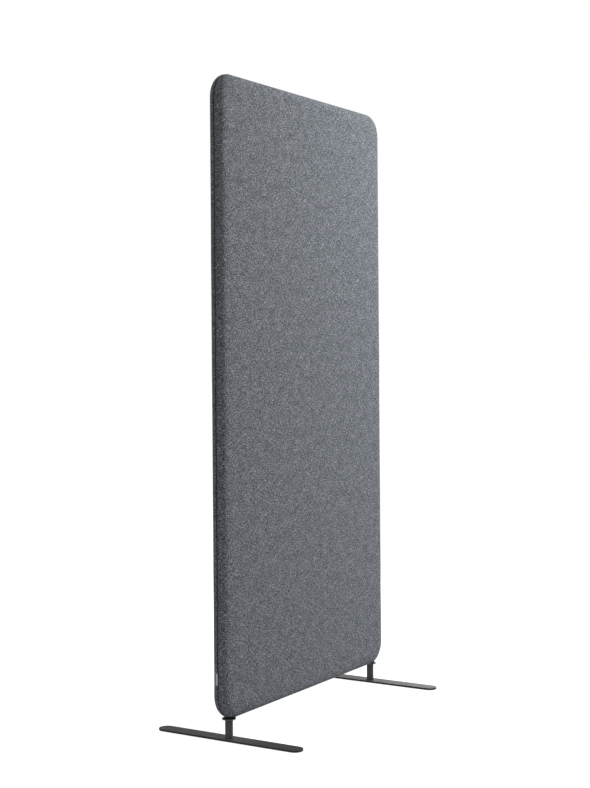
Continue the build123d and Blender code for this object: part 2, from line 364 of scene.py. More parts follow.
# %% [markdown]
# A cover is one cut of felted wool, drawn over moulded fibre and folded under at the
# seam. It is modelled as a sheet: a grid for the flat face, then rings that run out over
# the edge, round the fold and back under as a hem. The corner blocks of the grid are
# mapped to quarter discs, so the rings leave the face without a pole. Each vertex also
# stores its place on the flat cloth, which becomes the UV map that the weave follows, and
# how free it is to move, which is nothing at the seam and everything on the face.

# %% Grid lines of the face
corner_cells = 12
coarse_cell = 17 * MM
cell_growth = 1.5
inner_radius = corner_radius - edge_depth


def face_lines(middle, half_straight):
    """Grid lines along one side of the face, as (centre, share of the corner's radius)."""
    steps = [0.0]
    cell = inner_radius / corner_cells
    while steps[-1] + cell < half_straight:
        steps.append(steps[-1] + cell)
        cell = min(cell * cell_growth, coarse_cell)
    stretch = half_straight / steps[-1]
    low_half = [middle - half_straight + step * stretch for step in steps]
    high_half = [2 * middle - value for value in reversed(low_half[:-1])]
    before = [(low_half[0], i / corner_cells - 1) for i in range(corner_cells)]
    after = [(high_half[-1], (i + 1) / corner_cells) for i in range(corner_cells)]
    return before + [(value, 0.0) for value in low_half + high_half] + after


lines_x = face_lines(0.0, corner_x)
lines_z = face_lines(middle_z, edge_height / 2)
print("face grid", len(lines_x), "by", len(lines_z))

# %% Rows of the edge
fold_radius = 1.0 * MM
pinch_offset = 2.4 * MM
pinch_depth = 0.45 * MM
near_rows = [offset * MM for offset in (0.0, 0.8, 1.6, 2.4, 3.2, 4.4, 6.5)]
far_shares = (0.1, 0.24, 0.4, 0.58, 0.78)
fold_angles = [radians(angle) for angle in (30, 60, 90, 120, 150, 180)]
hem_rows = [offset * MM for offset in (3.0, 9.0)]


def fold_along(gap):
    """Where a cover's fold starts along the skin, for a given half gap."""
    return crown_radius * asin(gap / crown_radius) + fold_radius


def edge_rows(gap):
    """(along, below, cloth) of each row from the face out to the hem, cloth as laid flat."""
    fold = fold_along(gap)
    last_near = fold + near_rows[-1]
    rows = []
    for share in reversed(far_shares):
        along = last_near + (edge_length - last_near) * share
        rows.append((along, 0.0, edge_length - along))
    for offset in reversed(near_rows):
        pinch = pinch_depth if offset == pinch_offset else 0.0
        rows.append((fold + offset, pinch, edge_length - fold - offset))
    for angle in fold_angles:
        along = fold - fold_radius * sin(angle)
        below = fold_radius * (1 - cos(angle))
        rows.append((along, below, edge_length - fold + fold_radius * angle))
    for offset in hem_rows:
        cloth = edge_length - fold + fold_radius * pi + offset
        rows.append((fold + offset, 2 * fold_radius, cloth))
    return rows


print(len(edge_rows(groove_half)), "rows over the edge")

# %% Swell and gathers of the edge
gather_depth = 0.35 * MM
gather_turns = 6
gather_least = 0.4
gather_start, gather_reach = 4 * MM, 24 * MM
gather_patch = 20 * MM
puff_height = 0.6 * MM
puff_start, puff_full = 3.2 * MM, 9.0 * MM
puff_fade, puff_end = 21 * MM, 34 * MM


def gathers(distance, station, from_fold):
    """Small folds that run in from the seam where the cloth is eased round a corner."""
    centre, out = station
    turn_share = 2 * abs(out.x * out.y)
    fade = smooth_step(1 - from_fold / gather_reach) * smooth_step(from_fold / gather_start)
    wave = sin(distance / corner_arc * 2 * pi * gather_turns)
    uneven = noise.noise(Vector((distance / gather_patch, 0, 0)))
    strength = gather_least + (1 - gather_least) * uneven
    return gather_depth * turn_share * fade * wave * strength


def puff(from_fold):
    """How far the edge swells out beyond the stitches, where the padding is fullest."""
    rise = smooth_step((from_fold - puff_start) / (puff_full - puff_start))
    return puff_height * rise * smooth_step((puff_end - from_fold) / (puff_end - puff_fade))


print("edge swells by", round(puff(puff_fade) / MM, 2), "mm")

# %% Build a cover's sheet
face_dome = 1.2 * MM
dome_power = 4
free_start, free_full = 5 * MM, 25 * MM


def corner_disc(share_x, share_z):
    """A place in a square corner block carried onto the quarter disc."""
    return share_x * sqrt(1 - share_z**2 / 2), share_z * sqrt(1 - share_x**2 / 2)


def band(inner, outer):
    """The four-sided faces between two closed rings."""
    return zip(inner, inner[1:] + inner[:1], outer[1:] + outer[:1], outer)


def cover_sheet(name, side):
    """The sheet of the front cover (side -1) or the rear cover (side 1), faces outwards."""
    points, cloth, free = [], [], []
    index = {}
    for i, (centre_x, share_x) in enumerate(lines_x):
        for j, (centre_z, share_z) in enumerate(lines_z):
            out_x, out_z = corner_disc(share_x, share_z)
            x = centre_x + inner_radius * out_x
            z = centre_z + inner_radius * out_z
            across = x / (corner_x + inner_radius)
            rise = (z - middle_z) / (edge_height / 2 + inner_radius)
            dome = face_dome * (1 - across**dome_power) * (1 - rise**dome_power)
            index[i, j] = len(points)
            points.append(Vector((x, side * (half_thickness + dome), z)))
            cloth.append((x, z))
            free.append(1.0)
    last_i, last_j = len(lines_x) - 1, len(lines_z) - 1
    middle_i = len(lines_x) // 2
    rim = [(i, 0) for i in range(middle_i, 0, -1)]
    rim += [(0, j) for j in range(last_j)]
    rim += [(i, last_j) for i in range(last_i)]
    rim += [(last_i, j) for j in range(last_j, 0, -1)]
    rim += [(i, 0) for i in range(last_i, middle_i, -1)]

    cells = [(i, j) for i in range(last_i) for j in range(last_j)]
    faces = [(index[i, j], index[i + 1, j], index[i + 1, j + 1], index[i, j + 1]) for i, j in cells]
    rings = [[index[key] for key in rim]]
    stations, columns = [], []
    distance = 0.0
    for i, j in rim:
        (centre_x, share_x), (centre_z, share_z) = lines_x[i], lines_z[j]
        centre, out = Vector((centre_x, centre_z)), Vector(corner_disc(share_x, share_z))
        if stations:
            last_centre, last_out = stations[-1][0]
            distance += (centre - last_centre).length + last_out.angle(out) * corner_radius
        stations.append(((centre, out), distance))
        columns.append(edge_rows(half_gap(distance, (centre, out))))
    last_skin_row = len(far_shares) + len(near_rows) - 1
    for row in range(len(columns[0])):
        ring = []
        for (station, distance), column in zip(stations, columns):
            along, below, flat = column[row]
            from_fold = column[last_skin_row][2] - flat
            if from_fold > 0:
                below -= puff(from_fold) + gathers(distance, station, from_fold)
            depth, off_middle = edge_point(along, below)
            centre, out = station
            ring.append(len(points))
            points.append(place(station, depth, side * off_middle))
            cloth.append(tuple(centre + out * (inner_radius + flat)))
            free.append(smooth_step((from_fold - free_start) / (free_full - free_start)))
        rings.append(ring)
    for inner, outer in zip(rings, rings[1:]):
        faces += band(inner, outer)
    if side > 0:
        faces = [tuple(reversed(face)) for face in faces]
    mesh = bpy.data.meshes.new(name)
    mesh.from_pydata(points, [], faces)
    layer = mesh.uv_layers.new(name="cloth")
    for loop in mesh.loops:
        layer.data[loop.index].uv = cloth[loop.vertex_index]
    mesh.attributes.new("free", "FLOAT", "POINT").data.foreach_set("value", free)
    mesh.shade_smooth()
    return in_scene(name, mesh)


cover_sides = {"front": -1, "rear": 1}
upholstery = {part: cover_sheet("upholstery_" + part, side) for part, side in cover_sides.items()}
for sheet in upholstery.values():
    print(sheet.name, len(sheet.data.polygons), "faces as cut")

# %% [markdown]
# Subdivision rounds the sheet, and then a slow, shallow unevenness is pressed into it,
# as fibre and felt never lie perfectly flat. A shell modifier gives the cloth its real
# thickness, towards the inside, so the outer size stays as it was.

# %% Soften the covers
cloth_thickness = 0.85 * MM
swell, swell_size = 0.35 * MM, 110 * MM
ripple, ripple_size = 0.12 * MM, 26 * MM
cover_seed = {"front": Vector((0, 0, 0)), "rear": Vector((0, 7, 0))}


def apply_modifiers(piece):
    """Makes what the modifiers show the piece's own mesh."""
    graph = bpy.context.evaluated_depsgraph_get()
    mesh = bpy.data.meshes.new_from_object(piece.evaluated_get(graph))
    piece.modifiers.clear()
    piece.data = mesh


for part, sheet in upholstery.items():
    smooth = sheet.modifiers.new("smooth", "SUBSURF")
    smooth.levels = smooth.render_levels = 1
    apply_modifiers(sheet)
    free = sheet.data.attributes["free"].data
    normals = [vertex.normal.copy() for vertex in sheet.data.vertices]
    for vertex, normal in zip(sheet.data.vertices, normals):
        slow = noise.noise(vertex.co / swell_size + cover_seed[part]) * swell
        quick = noise.noise(vertex.co / ripple_size + cover_seed[part]) * ripple
        vertex.co += normal * (slow + quick + swell / 2) * free[vertex.index].value
    shell = sheet.modifiers.new("thickness", "SOLIDIFY")
    shell.thickness = cloth_thickness
    shell.offset = -1
    apply_modifiers(sheet)
    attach(sheet, "panel")
    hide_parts("cover_" + part)
    print(sheet.name, len(sheet.data.polygons), "faces when finished")

# %% [markdown]
# Stitches and the zip's loops repeat thousands of times along a path, which is work for
# Geometry Nodes. The path is a line of points that carries two attributes, the way it
# travels and the way out of the surface. The tree resamples the line at the pitch, puts
# one copy on each point, turned to match both attributes, varies the copies a little
# with a fixed seed, and ends in Realize Instances and Set Material.

# %% A tree that repeats a piece along a route
def new_group(tree_kind, name, inputs, outputs):
    """An empty node group, and its input sockets. Both dictionaries give names by kind."""
    tree = bpy.data.node_groups.new(name, tree_kind)
    for way, sockets in (("INPUT", inputs), ("OUTPUT", outputs)):
        for kind, names in sockets.items():
            for socket in names:
                tree.interface.new_socket(socket, in_out=way, socket_type="NodeSocket" + kind)
    return tree, add_node(tree, "NodeGroupInput").outputs


def repeat_tree():
    """Geometry Nodes that put copies of a piece along a line of points."""
    inputs = {"Geometry": ["Geometry"], "Object": ["Copy"], "Float": ["Pitch", "Wobble"]}
    inputs |= {"Int": ["Seed"], "Material": ["Finish"]}
    outputs = {"Geometry": ["Geometry"]}
    tree, given = new_group("GeometryNodeTree", "copies_along_route", inputs, outputs)

    def step(kind, inputs, **settings):
        return add_node(tree, kind, inputs, **settings).outputs[0]

    line = step("GeometryNodeMeshToCurve", {"Mesh": given["Geometry"]})
    spots = step("GeometryNodeResampleCurve", {"Curve": line, "Length": given["Pitch"]}, mode="LENGTH")
    ahead, out = (
        step("GeometryNodeInputNamedAttribute", {"Name": name}, data_type="FLOAT_VECTOR")
        for name in ("ahead", "out")
    )
    axes = {"Primary Axis": out, "Secondary Axis": ahead}
    facing = step("FunctionNodeAxesToRotation", axes, primary_axis="Z", secondary_axis="X")
    least = math_node(tree, "MULTIPLY", given["Wobble"], -1.0)
    limits = {"Min": least, "Max": given["Wobble"], "Seed": given["Seed"]}
    tilt = step("FunctionNodeRandomValue", limits, data_type="FLOAT_VECTOR")
    turns = {"Rotation": facing, "Rotate By": step("FunctionNodeEulerToRotation", {"Euler": tilt})}
    turned = step("FunctionNodeRotateRotation", turns, rotation_space="LOCAL")
    source = add_node(tree, "GeometryNodeObjectInfo", {"Object": given["Copy"]}).outputs["Geometry"]
    placed = {"Points": spots, "Instance": source, "Rotation": turned}
    real = step("GeometryNodeRealizeInstances", {"Geometry": step("GeometryNodeInstanceOnPoints", placed)})
    finished = step("GeometryNodeSetMaterial", {"Geometry": real, "Material": given["Finish"]})
    add_node(tree, "NodeGroupOutput", {"Geometry": finished})
    return tree


copies_along_route = repeat_tree()
print("tree with", len(copies_along_route.nodes), "nodes")

# %% Run the tree
def along_route(name, route, copy, pitch, wobble, seed, finish):
    """A piece made of copies along a route, a list of (point, ahead, out), as a plain mesh."""
    mesh = bpy.data.meshes.new(name)
    mesh.from_pydata([point for point, _, _ in route], [(i, i + 1) for i in range(len(route) - 1)], [])
    for attribute, column in (("ahead", 1), ("out", 2)):
        values = mesh.attributes.new(attribute, "FLOAT_VECTOR", "POINT")
        values.data.foreach_set("vector", [c for item in route for c in item[column]])
    piece = in_scene(name, mesh)
    modifier = piece.modifiers.new("copies", "NODES")
    modifier.node_group = copies_along_route
    given = {"Copy": copy, "Pitch": pitch, "Wobble": wobble, "Seed": seed, "Finish": finish}
    for item in copies_along_route.interface.items_tree:
        if item.in_out == "INPUT" and item.name in given:
            modifier[item.identifier] = given[item.name]
    apply_modifiers(piece)
    dress(piece, finish)
    piece.data.shade_smooth()
    print(name, len(piece.data.polygons), "faces")
    return piece


def tubes_mesh(name, tubes):
    """A mesh of tubes with closed ends. A tube is a list of rings, and a ring a list of points."""
    made = bmesh.new()
    for tube in tubes:
        rings = [[made.verts.new(point) for point in ring] for ring in tube]
        for low, high in zip(rings, rings[1:]):
            for face in band(low, high):
                made.faces.new(face)
        made.faces.new(list(reversed(rings[0])))
        made.faces.new(rings[-1])
    bmesh.ops.recalc_face_normals(made, faces=made.faces)
    mesh = bpy.data.meshes.new(name)
    made.to_mesh(mesh)
    made.free()
    return mesh


def thread_copy(name, path, radius, sides):
    """A short bent tube, as the piece that a tree repeats. It isn't in the scene itself."""
    angles = [2 * pi * (k + 0.5) / sides for k in range(sides)]
    circle = [Vector((radius * cos(a), radius * sin(a), 0)) for a in angles]
    rings = []
    for i, point in enumerate(path):
        facing = (path[min(i + 1, len(path) - 1)] - path[max(i - 1, 0)]).to_track_quat("Z", "Y")
        rings.append([point + facing @ offset for offset in circle])
    return bpy.data.objects.new(name, tubes_mesh(name, [rings]))


# %% [markdown]
# Before the small pieces can be placed they need their finishes. Each finish is a
# procedural material. What several of them share sits in a node group: a group only
# works out colours, masks and heights that change over the surface, and the shader
# itself stays in the material.

# %% Helpers for finishes
def times(tree, first, second):
    """Two values multiplied, as a socket."""
    return math_node(tree, "MULTIPLY", first, second)


def one_over(tree, size):
    """The scale at which a texture's features have a size, as a socket."""
    return math_node(tree, "DIVIDE", 1.0, size)


def swing(tree, value, amount):
    """How far a value lies above a half, times an amount, as a socket."""
    return times(tree, math_node(tree, "SUBTRACT", value, 0.5), amount)


def stretched(tree, vector, *scales):
    """A vector scaled differently along each axis, as a socket."""
    scale = add_node(tree, "ShaderNodeCombineXYZ", dict(enumerate(scales))).outputs[0]
    made = add_node(tree, "ShaderNodeVectorMath", {0: vector, 1: scale}, operation="MULTIPLY")
    return made.outputs[0]


def noise_node(tree, vector, scale, detail=2.0, rough=0.5, distortion=0.0):
    """The value of a noise texture, as a socket."""
    look = {"Detail": detail, "Roughness": rough, "Distortion": distortion}
    return add_node(tree, "ShaderNodeTexNoise", {"Vector": vector, "Scale": scale, **look}).outputs["Fac"]


def mix_colour(tree, share, first, second, blend="MIX"):
    """Two colours mixed, as a socket. A Mix node's colours are its inputs 6 and 7 and output 2."""
    inputs = {0: share, 6: first, 7: second}
    return add_node(tree, "ShaderNodeMix", inputs, data_type="RGBA", blend_type=blend).outputs[2]


def new_finish(name, settings):
    """A material with one Principled BSDF, its constant values set on the shader's own sockets."""
    finish = bpy.data.materials.new(name)
    finish.use_nodes = True
    shader = finish.node_tree.nodes["Principled BSDF"]
    fill(finish.node_tree, shader, settings)
    return finish, finish.node_tree, shader


def own_coordinates(tree):
    """The piece's own coordinates in metres, as a socket."""
    return add_node(tree, "ShaderNodeTexCoord").outputs["Object"]


def vary(tree, shader, inputs, height, strength, distance):
    """Links what changes over the surface to the shader, and a height through a bump."""
    relief = {"Height": height, "Strength": strength, "Distance": distance}
    bump = add_node(tree, "ShaderNodeBump", relief)
    fill(tree, shader, {**inputs, "Normal": bump.outputs["Normal"]})


# %% [markdown]
# The cover is mottled wool felt: yarn spun from dark, middle and pale grey fibres, woven
# and then milled until a nap hides most of the weave. From a step away it reads as a
# fine grain of light and dark clumps a few millimetres across. Closer, short streaks of
# warp and weft show through, with loose pale hairs on top. The group mixes those scales
# and also gives the height of the nap. It reads the cloth map, so the grain turns over
# the edge with the cloth.

# %% Felt group
streak_draw = 0.14
patch_scale = 0.12
hair_scale, hair_draw, hair_curl = 2.4, 0.3, 1.6
clump_weight, streak_weight, hair_weight, patch_weight = 1.5, 0.9, 0.6, 0.25
hair_height = 0.5
full_tone = 0.75
matted, sleek = 0.97, 0.85


def felted_wool_group():
    """Colour, roughness and height of milled wool cloth."""
    inputs = {"Vector": ["Vector"], "Color": ["Dark", "Middle", "Pale"]}
    inputs["Float"] = ["Clump Size", "Yarn Size", "Contrast"]
    outputs = {"Color": ["Color"], "Float": ["Roughness", "Height"]}
    tree, given = new_group("ShaderNodeTree", "felted_wool", inputs, outputs)
    vector = given["Vector"]
    clump, yarn = one_over(tree, given["Clump Size"]), one_over(tree, given["Yarn Size"])
    drawn, hair = times(tree, yarn, streak_draw), times(tree, yarn, hair_scale)
    clumps = noise_node(tree, vector, clump, rough=0.6)
    patches = noise_node(tree, vector, times(tree, clump, patch_scale))
    warp = noise_node(tree, stretched(tree, vector, yarn, drawn, yarn), 1.0)
    weft = noise_node(tree, stretched(tree, vector, drawn, yarn, yarn), 1.0)
    strands = stretched(tree, vector, hair, times(tree, hair, hair_draw), hair)
    hairs = noise_node(tree, strands, 1.0, detail=3.0, distortion=hair_curl)
    tone = swing(tree, clumps, clump_weight)
    streaks = ((warp, streak_weight), (weft, streak_weight))
    for part, weight in (*streaks, (hairs, hair_weight), (patches, patch_weight)):
        tone = math_node(tree, "ADD", tone, swing(tree, part, weight))
    tone = times(tree, tone, given["Contrast"])
    colour = mix_colour(tree, spread(tree, tone, 0.0, full_tone), given["Middle"], given["Pale"])
    colour = mix_colour(tree, spread(tree, tone, 0.0, -full_tone), colour, given["Dark"])
    height = math_node(tree, "ADD", times(tree, hairs, hair_height), math_node(tree, "ADD", warp, weft))
    rough = spread(tree, tone, -0.5, 0.5, matted, sleek)
    add_node(tree, "NodeGroupOutput", {"Color": colour, "Roughness": rough, "Height": height})
    return tree


felted_wool = felted_wool_group()
print("felt group with", len(felted_wool.nodes), "nodes")

# %% Felt finish of the covers
felt_colours = (0.029, 0.033, 0.040), (0.147, 0.159, 0.180), (0.545, 0.575, 0.618)
felt_clump, felt_yarn = 3.4 * MM, 1.5 * MM
felt_contrast = 1.9
felt_gloss = {"Specular IOR Level": 0.15, "Sheen Weight": 0.12, "Sheen Roughness": 0.5}
felt_gloss["Sheen Tint"] = (0.75, 0.8, 0.88)


def felt_finish(name, colours, clump, yarn, contrast, bump, gloss, cloth_shift=None):
    """Felt in a dark, a middle and a pale colour. With a shift it reads the cloth map, moved."""
    finish, tree, shader = new_finish(name, gloss)
    if cloth_shift is None:
        vector = own_coordinates(tree)
    else:
        cloth = add_node(tree, "ShaderNodeUVMap", uv_map="cloth").outputs[0]
        moved = {"Vector": cloth, "Location": (*cloth_shift, 0)}
        vector = add_node(tree, "ShaderNodeMapping", moved).outputs[0]
    inputs = dict(zip(("Dark", "Middle", "Pale"), colours))
    inputs |= {"Vector": vector, "Clump Size": clump, "Yarn Size": yarn, "Contrast": contrast}
    felt = add_node(tree, "ShaderNodeGroup", inputs, node_tree=felted_wool).outputs
    varying = {"Base Color": felt["Color"], "Roughness": felt["Roughness"]}
    vary(tree, shader, varying, felt["Height"], *bump)
    return finish


for part, shift in (("front", (0.0, 0.0)), ("rear", (1.9, 3.1))):
    look = (felt_colours, felt_clump, felt_yarn, felt_contrast, (0.5, 0.25 * MM), felt_gloss)
    dress(upholstery[part], felt_finish("felt_" + part, *look, cloth_shift=shift))
print("covers finished in felt")

# %% [markdown]
# The woven group serves the zip's tapes, the ribbon tab and the thread: crossing threads
# at a given pitch, each a rounded ridge. The grain group serves what is painted, moulded
# or plated: a fine orange-peel height, a slow change of roughness and a slight change of
# colour. A third group finds edges, where paint is thinnest and handling shows first.

# %% Woven group
thread_low, thread_high, uneven_scale = 0.5, 1.3, 0.5


def woven_group():
    """Colour and height of crossing threads. The Shade colour is painted shade, laid into the hollows
    between the threads by their height.
    """
    inputs = {"Vector": ["Vector"], "Color": ["Thread", "Shade"], "Float": ["Pitch"]}
    outputs = {"Color": ["Color"], "Float": ["Height"]}
    tree, given = new_group("ShaderNodeTree", "woven_band", inputs, outputs)
    scale = one_over(tree, given["Pitch"])
    turns = times(tree, scale, 2 * pi)
    split = add_node(tree, "ShaderNodeSeparateXYZ", {0: given["Vector"]}).outputs
    across = math_node(tree, "SINE", times(tree, split[1], turns))
    down = math_node(tree, "SINE", times(tree, math_node(tree, "ADD", split[0], split[2]), turns))
    ridges = spread(tree, times(tree, across, down), -1.0, 1.0)
    uneven = noise_node(tree, given["Vector"], times(tree, scale, uneven_scale), detail=3.0)
    height = math_node(tree, "ADD", ridges, uneven)
    # Painted shade: the lower the weave, the more of the Shade colour.
    share = spread(tree, height, thread_low, thread_high)
    colour = mix_colour(tree, share, given["Shade"], given["Thread"])
    add_node(tree, "NodeGroupOutput", {"Color": colour, "Height": height})
    return tree


# %% Grain group
slow_scale = 18.0
colour_gain, speckle_gain = 3.0, 2.0


def fine_grain_group():
    """Colour, roughness and height of a painted or moulded skin."""
    inputs = {"Vector": ["Vector"], "Color": ["Color"]}
    inputs["Float"] = ["Grain Size", "Roughness", "Variation"]
    outputs = {"Color": ["Color"], "Float": ["Roughness", "Height"]}
    tree, given = new_group("ShaderNodeTree", "fine_grain", inputs, outputs)
    grain = noise_node(tree, given["Vector"], one_over(tree, given["Grain Size"]))
    slow = noise_node(tree, given["Vector"], slow_scale, detail=4.0, rough=0.6)
    patch = swing(tree, slow, given["Variation"])
    sparkle = swing(tree, grain, given["Variation"])
    rough = math_node(tree, "ADD", given["Roughness"], math_node(tree, "ADD", patch, sparkle))
    speckle = math_node(tree, "ADD", patch, times(tree, sparkle, speckle_gain))
    tint = math_node(tree, "ADD", 1.0, times(tree, speckle, colour_gain))
    colour = mix_colour(tree, 1.0, given["Color"], tint, blend="MULTIPLY")
    add_node(tree, "NodeGroupOutput", {"Color": colour, "Roughness": rough, "Height": grain})
    return tree


# %% Edge group
flat_cosine, edge_cosine = 0.99, 0.8
wear_scale, wear_low, wear_high = 160.0, 0.35, 0.7


def worn_edge_group():
    """A mask that is 1 along sharp edges, broken up by noise."""
    inputs = {"Vector": ["Vector"], "Float": ["Width", "Amount"]}
    tree, given = new_group("ShaderNodeTree", "worn_edges", inputs, {"Float": ["Mask"]})
    rounded = add_node(tree, "ShaderNodeBevel", {"Radius": given["Width"]}, samples=4).outputs[0]
    plain = add_node(tree, "ShaderNodeNewGeometry").outputs["Normal"]
    agree = add_node(tree, "ShaderNodeVectorMath", {0: rounded, 1: plain}, operation="DOT_PRODUCT")
    edge = spread(tree, agree.outputs["Value"], flat_cosine, edge_cosine)
    patchy = noise_node(tree, given["Vector"], wear_scale, detail=5.0, rough=0.7)
    broken = spread(tree, patchy, wear_low, wear_high)
    mask = times(tree, times(tree, edge, broken), given["Amount"])
    add_node(tree, "NodeGroupOutput", {"Mask": mask})
    return tree


woven_band, fine_grain, worn_edges = woven_group(), fine_grain_group(), worn_edge_group()
print("groups for woven bands, fine grain and worn edges")

# %% [markdown]
# The feet are steel with a fine-textured black powder coat. On the posts the same coat is painted paler,
# as painted light for the light that falls on them.
# The collars are black moulded plastic, and the zip's slider and pull are dark plated
# metal. Each finish is one colour with the same grain group at its own size. They differ
# in gloss, and in how much wear the edge group adds.

# %% Painted, moulded and plated finishes
def grained_finish(name, colour, grain, rough, variation, bump, worn=None, specular=0.5, metallic=0.0):
    """One colour with fine grain. worn is (colour, width, amount) of its rubbed edges."""
    settings = {"Specular IOR Level": specular, "Metallic": metallic}
    finish, tree, shader = new_finish(name, settings)
    where = own_coordinates(tree)
    inputs = {"Vector": where, "Color": colour, "Grain Size": grain, "Roughness": rough}
    inputs["Variation"] = variation
    skin = add_node(tree, "ShaderNodeGroup", inputs, node_tree=fine_grain).outputs
    shown = skin["Color"]
    if worn:
        inputs = {"Vector": where, "Width": worn[1], "Amount": worn[2]}
        rubbed = add_node(tree, "ShaderNodeGroup", inputs, node_tree=worn_edges).outputs
        shown = mix_colour(tree, rubbed["Mask"], shown, worn[0])
    varying = {"Base Color": shown, "Roughness": skin["Roughness"]}
    vary(tree, shader, varying, skin["Height"], *bump)
    return finish


bar_coat = grained_finish(
    "bar_coat", (0.046,) * 3, grain=0.7 * MM, rough=0.62, variation=0.12, bump=(0.8, 0.08 * MM),
    worn=((0.07,) * 3, 0.7 * MM, 0.5), specular=0.22,
)
# The posts have the bars' coat, painted paler as painted light.
post_coat_painted_light = grained_finish(
    "post_coat_painted_light", (0.115,) * 3, grain=0.7 * MM, rough=0.55, variation=0.12, bump=(0.8, 0.07 * MM),
    worn=((0.14,) * 3, 0.7 * MM, 0.5), specular=0.16,
)
black_plastic = grained_finish(
    "black_plastic", (0.005, 0.005, 0.0055), grain=0.4 * MM, rough=0.5, variation=0.1,
    bump=(0.5, 0.04 * MM), specular=0.1,
)
dark_plating = grained_finish(
    "dark_plating", (0.10, 0.10, 0.105), grain=0.25 * MM, rough=0.32, variation=0.15,
    bump=(0.15, 0.02 * MM), worn=((0.45, 0.44, 0.42), 0.4 * MM, 0.7), metallic=1.0,
)
coil_nylon = grained_finish(
    "coil_nylon", (0.050, 0.051, 0.054), grain=0.2 * MM, rough=0.35, variation=0.1,
    bump=(0.1, 0.01 * MM),
)
zinc_steel = grained_finish(
    "zinc_steel", (0.50, 0.49, 0.47), grain=0.5 * MM, rough=0.34, variation=0.2,
    bump=(0.15, 0.02 * MM), metallic=1.0,
)
print("six painted, moulded and plated finishes")

# %% [markdown]
# A collar is deep black in the shade of the panel. Only the rim of its flange is painted paler, as a
# painted highlight where the rim catches the light, in a narrow band that is found by its distance from
# the post's axis.

# %% Painted highlight on the rim of the collars
rim_radius = (collar_high.x - collar_low.x) / 2
rim_width = 0.5 * MM
# The paler colour of the rim is a painted highlight.
rim_highlight_colour = (0.19, 0.19, 0.193)


def paint_rim_highlight(finish):
    """Paints a highlight on the rim of each collar's flange: a band of paler colour."""
    tree, shader = finish.node_tree, finish.node_tree.nodes["Principled BSDF"]
    split = add_node(tree, "ShaderNodeSeparateXYZ", {0: own_coordinates(tree)}).outputs
    off_axis = math_node(tree, "SUBTRACT", math_node(tree, "ABSOLUTE", split[0]), abs(post_x))
    flat = add_node(tree, "ShaderNodeCombineXYZ", {0: off_axis, 1: split[1]}).outputs[0]
    reach = add_node(tree, "ShaderNodeVectorMath", {0: flat}, operation="LENGTH").outputs["Value"]
    mask = spread(tree, reach, rim_radius - rim_width, rim_radius - rim_width / 2)
    plain = shader.inputs["Base Color"].links[0].from_socket
    fill(tree, shader, {"Base Color": mix_colour(tree, mask, plain, rim_highlight_colour)})


# Painted highlight on the rim of the collars.
paint_rim_highlight(black_plastic)
print("rim of the collars", round(rim_radius / MM, 1), "mm from the axis")

# %% Cloth and thread finishes
plain_gloss = {"Specular IOR Level": 0.1, "Sheen Weight": 0.1}
plain_bump = (0.6, 0.3 * MM)


def woven_finish(name, thread, shade, pitch, rough, sheen):
    """A woven band of one colour, with painted shade in the hollows between its threads."""
    finish, tree, shader = new_finish(name, {"Roughness": rough, "Sheen Weight": sheen})
    inputs = {"Vector": own_coordinates(tree), "Thread": thread, "Shade": shade, "Pitch": pitch}
    weave = add_node(tree, "ShaderNodeGroup", inputs, node_tree=woven_band).outputs
    vary(tree, shader, {"Base Color": weave["Color"]}, weave["Height"], 0.5, 0.1 * MM)
    return finish


def plain_felt(name, colours, clump, yarn):
    """Unwoven felt or fibre that reads the piece's own coordinates."""
    return felt_finish(name, colours, clump, yarn, 1.0, plain_bump, plain_gloss)


woven_tape = woven_finish(
    "woven_tape", (0.075, 0.078, 0.084), (0.02, 0.021, 0.023), pitch=0.7 * MM, rough=0.85, sheen=0.1
)
pale_ribbon = woven_finish(
    "pale_ribbon", (0.84, 0.86, 0.85), (0.62, 0.65, 0.65), pitch=0.6 * MM, rough=0.6, sheen=0.1
)
stitch_thread = woven_finish(
    "stitch_thread", (0.20, 0.21, 0.23), (0.10, 0.105, 0.115), pitch=0.3 * MM, rough=0.7, sheen=0.2
)
glide_colours = (0.02, 0.02, 0.02), (0.05, 0.05, 0.052), (0.1, 0.1, 0.1)
pressed_felt = plain_felt("pressed_felt", glide_colours, clump=1.5 * MM, yarn=0.5 * MM)
pad_colours = (0.35, 0.35, 0.34), (0.55, 0.55, 0.53), (0.75, 0.75, 0.73)
pad_fibre = plain_felt("pad_fibre", pad_colours, clump=5 * MM, yarn=1.2 * MM)
board_colours = (0.15, 0.11, 0.07), (0.32, 0.25, 0.17), (0.5, 0.42, 0.3)
pressed_board = plain_felt("pressed_board", board_colours, clump=9 * MM, yarn=3 * MM)
print("three woven finishes and three of felt or fibre")

# %% [markdown]
# The timber of the frame is hidden, but it is finished all the same, because the parts
# are also looked at one by one. Its rings are distorted bands across the grain, with
# fine pores drawn out along it. The stiles stand up and the rails lie down, so the grain
# runs along Z or along X.

# %% Timber finish
ring_scale, ring_turns, ring_bend, pore_scale = 45.0, 40.0, 0.8, 420.0
pore_low, pore_high, pore_share = 0.55, 0.75, 0.5
grain_draw = 0.06
early_wood, late_wood, pore_colour = (0.52, 0.36, 0.20), (0.68, 0.51, 0.31), (0.3, 0.19, 0.1)


